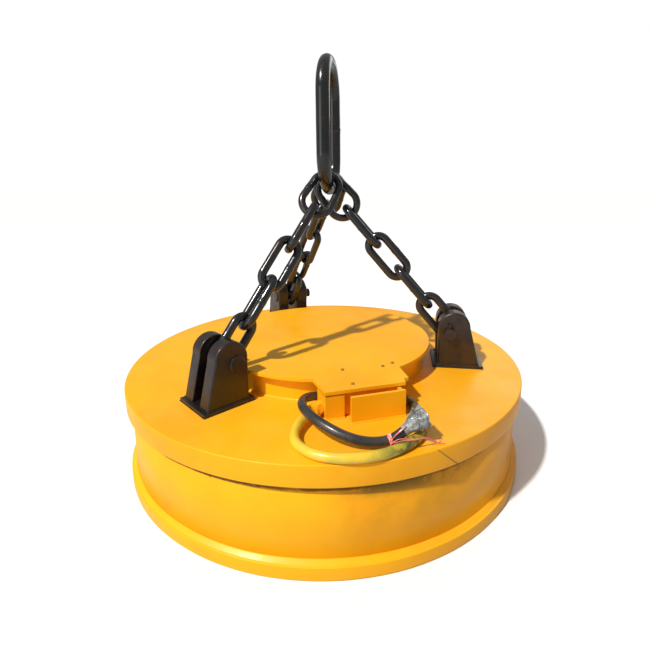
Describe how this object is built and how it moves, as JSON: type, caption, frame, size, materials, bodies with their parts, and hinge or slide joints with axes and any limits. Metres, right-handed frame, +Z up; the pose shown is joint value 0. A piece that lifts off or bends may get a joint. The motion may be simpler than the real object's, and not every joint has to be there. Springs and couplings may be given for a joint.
{
  "type": "lifting electromagnet",
  "caption": "Round scrap-handling electromagnet with a drum body, raised cover, terminal box, loose supply cable and a three-leg chain sling on a master ring.",
  "frame": {"origin": "centre of the flat pole face, on the magnet's axis", "axes": "+Z up along the magnet's axis, -Y towards the terminal box side, +X towards the lug on the right"},
  "size_m": [1.0998, 1.1047, 1.0859],
  "materials": {
    "yellow_paint": "semi-gloss enamel, slightly uneven spray coat",
    "black_paint": "semi-gloss black over flame-cut plate, brownish where thin",
    "chain_black": "semi-gloss black dip on forged chain",
    "ring_black": "semi-gloss black on a forged ring",
    "core_steel": "machined cast steel",
    "pole_steel": "machined face",
    "guard_steel": "rolled manganese steel plate",
    "bolt_steel": "black oxide",
    "winding": "anodised strip, wound flat",
    "brass": "plain",
    "insulation": "glass-epoxy board",
    "potting": "cast resin",
    "gasket_rubber": "flat sheet",
    "cable_rubber": "rubber sheath, overspray of yellow on the first turn",
    "wrap_film": "crumpled stretch film",
    "string": "split-film twine"
  },
  "bodies": {
    "magnet": {"cable_end_wrap": "wrap_film", "cable_entry_block": "yellow_paint", "cable_gland": "yellow_paint", "cable_tie": "string", "coil_base_board": "insulation", "coil_former": "insulation", "coil_leads": "brass", "coil_top_board": "insulation", "coil_winding_1": "winding", "coil_winding_2": "winding", "coil_winding_3": "winding", "coil_winding_4": "winding", "core_pole": "core_steel", "cover_gasket": "gasket_rubber", "cover_plate": "yellow_paint", "cover_screws": "yellow_paint", "drum_shell": "yellow_paint", "guard_plate": "guard_steel", "inner_pole_shoe": "pole_steel", "inner_shoe_bolts": "bolt_steel", "lug_a_base": "black_paint", "lug_a_ear_far": "black_paint", "lug_a_ear_near": "black_paint", "lug_a_pin": "black_paint", "lug_b_base": "black_paint", "lug_b_ear_far": "black_paint", "lug_b_ear_near": "black_paint", "lug_b_pin": "black_paint", "lug_c_base": "black_paint", "lug_c_ear_far": "black_paint", "lug_c_ear_near": "black_paint", "lug_c_pin": "black_paint", "lug_pin_cotters": "black_paint", "lug_pin_washers": "black_paint", "outer_pole_shoe": "yellow_paint", "potting_compound": "potting", "power_cable": "cable_rubber", "terminal_board": "insulation", "terminal_box": "yellow_paint", "terminal_studs": "brass", "top_plate": "yellow_paint", "upper_seam_weld": "yellow_paint", "winding_spacers": "insulation", "yoke_disc": "yellow_paint"},
    "chain_a_link_1": {"chain_a_link_1": "chain_black"},
    "chain_a_link_2": {"chain_a_link_2": "chain_black"},
    "chain_a_link_3": {"chain_a_link_3": "chain_black"},
    "chain_a_link_4": {"chain_a_link_4": "chain_black"},
    "chain_a_top_link": {"chain_a_top_link": "chain_black"},
    "chain_b_link_1": {"chain_b_link_1": "chain_black"},
    "chain_b_link_2": {"chain_b_link_2": "chain_black"},
    "chain_b_link_3": {"chain_b_link_3": "chain_black"},
    "chain_b_link_4": {"chain_b_link_4": "chain_black"},
    "chain_b_top_link": {"chain_b_top_link": "chain_black"},
    "chain_c_link_1": {"chain_c_link_1": "chain_black"},
    "chain_c_link_2": {"chain_c_link_2": "chain_black"},
    "chain_c_link_3": {"chain_c_link_3": "chain_black"},
    "chain_c_link_4": {"chain_c_link_4": "chain_black"},
    "chain_c_top_link": {"chain_c_top_link": "chain_black"},
    "master_ring": {"master_ring": "ring_black"}
  },
  "joints": [
    {"name": "chain_a_pin_hinge", "type": "hinge", "parent": "magnet", "child": "chain_a_link_1", "pos_m": [-0.2314, -0.27578, 0.346], "axis": [-0.6732, 0.7395, 0], "range_deg": [0, 13]},
    {"name": "chain_a_hinge_2", "type": "hinge", "parent": "chain_a_link_1", "child": "chain_a_link_2", "pos_m": [-0.19088, -0.23889, 0.4113], "axis": [-0.6732, 0.7395, 0], "range_deg": [-6.52, 0]},
    {"name": "chain_a_hinge_3", "type": "hinge", "parent": "chain_a_link_2", "child": "chain_a_link_3", "pos_m": [-0.1259, -0.17974, 0.51601], "axis": [-0.6732, 0.7395, 0], "range_deg": [-11.31, 0]},
    {"name": "chain_a_hinge_4", "type": "hinge", "parent": "chain_a_link_3", "child": "chain_a_link_4", "pos_m": [-0.08348, -0.14112, 0.58438], "axis": [-0.6732, 0.7395, 0], "range_deg": [-4.81, 0]},
    {"name": "chain_a_hinge_5", "type": "hinge", "parent": "chain_a_link_4", "child": "chain_a_top_link", "pos_m": [-0.01849, -0.08197, 0.68909], "axis": [-0.6732, 0.7395, 0], "range_deg": [0, 9.6]},
    {"name": "chain_b_pin_hinge", "type": "hinge", "parent": "magnet", "child": "chain_b_link_1", "pos_m": [0.35453, -0.06251, 0.346], "axis": [-0.1631, -0.9866, 0], "range_deg": [0, 13.17]},
    {"name": "chain_b_hinge_2", "type": "hinge", "parent": "chain_b_link_1", "child": "chain_b_link_2", "pos_m": [0.30187, -0.05381, 0.40826], "axis": [-0.1631, -0.9866, 0], "range_deg": [-6.59, 0]},
    {"name": "chain_b_hinge_3", "type": "hinge", "parent": "chain_b_link_2", "child": "chain_b_link_3", "pos_m": [0.21409, -0.03929, 0.51204], "axis": [-0.1631, -0.9866, 0], "range_deg": [-11.36, 0]},
    {"name": "chain_b_hinge_4", "type": "hinge", "parent": "chain_b_link_3", "child": "chain_b_link_4", "pos_m": [0.15886, -0.03016, 0.57734], "axis": [-0.1631, -0.9866, 0], "range_deg": [-4.79, 0]},
    {"name": "chain_b_hinge_5", "type": "hinge", "parent": "chain_b_link_4", "child": "chain_b_top_link", "pos_m": [0.07108, -0.01565, 0.68113], "axis": [-0.1631, -0.9866, 0], "range_deg": [0, 9.56]},
    {"name": "chain_c_pin_hinge", "type": "hinge", "parent": "magnet", "child": "chain_c_link_1", "pos_m": [-0.12313, 0.33829, 0.346], "axis": [0.8864, 0.4628, 0], "range_deg": [0, 12.99]},
    {"name": "chain_c_hinge_2", "type": "hinge", "parent": "chain_c_link_1", "child": "chain_c_link_2", "pos_m": [-0.09763, 0.28946, 0.41165], "axis": [0.8864, 0.4628, 0], "range_deg": [-6.51, 0]},
    {"name": "chain_c_hinge_3", "type": "hinge", "parent": "chain_c_link_2", "child": "chain_c_link_3", "pos_m": [-0.05696, 0.21157, 0.51636], "axis": [0.8864, 0.4628, 0], "range_deg": [-11.3, 0]},
    {"name": "chain_c_hinge_4", "type": "hinge", "parent": "chain_c_link_3", "child": "chain_c_link_4", "pos_m": [-0.03027, 0.16046, 0.58507], "axis": [0.8864, 0.4628, 0], "range_deg": [-4.81, 0]},
    {"name": "chain_c_hinge_5", "type": "hinge", "parent": "chain_c_link_4", "child": "chain_c_top_link", "pos_m": [0.0104, 0.08256, 0.68979], "axis": [0.8864, 0.4628, 0], "range_deg": [0, 9.6]},
    {"name": "ring_rock", "type": "hinge", "parent": "chain_a_top_link", "child": "master_ring", "pos_m": [0.025, -0.006, 0.741], "axis": [0.1736, 0.9848, 0], "range_deg": [-20, 20]}
  ],
  "couplings": [
    {"joint": "chain_a_hinge_2", "follows": "chain_a_pin_hinge", "ratio": -0.5},
    {"joint": "chain_a_hinge_3", "follows": "chain_a_pin_hinge", "ratio": -0.8686},
    {"joint": "chain_a_hinge_4", "follows": "chain_a_pin_hinge", "ratio": -0.3687},
    {"joint": "chain_a_hinge_5", "follows": "chain_a_pin_hinge", "ratio": 0.7373},
    {"joint": "chain_b_pin_hinge", "follows": "chain_a_pin_hinge", "ratio": 1.0113},
    {"joint": "chain_b_hinge_2", "follows": "chain_a_pin_hinge", "ratio": -0.5057},
    {"joint": "chain_b_hinge_3", "follows": "chain_a_pin_hinge", "ratio": -0.8726},
    {"joint": "chain_b_hinge_4", "follows": "chain_a_pin_hinge", "ratio": -0.3669},
    {"joint": "chain_b_hinge_5", "follows": "chain_a_pin_hinge", "ratio": 0.7339},
    {"joint": "chain_c_pin_hinge", "follows": "chain_a_pin_hinge", "ratio": 0.998},
    {"joint": "chain_c_hinge_2", "follows": "chain_a_pin_hinge", "ratio": -0.499},
    {"joint": "chain_c_hinge_3", "follows": "chain_a_pin_hinge", "ratio": -0.8676},
    {"joint": "chain_c_hinge_4", "follows": "chain_a_pin_hinge", "ratio": -0.3686},
    {"joint": "chain_c_hinge_5", "follows": "chain_a_pin_hinge", "ratio": 0.7372}
  ]
}
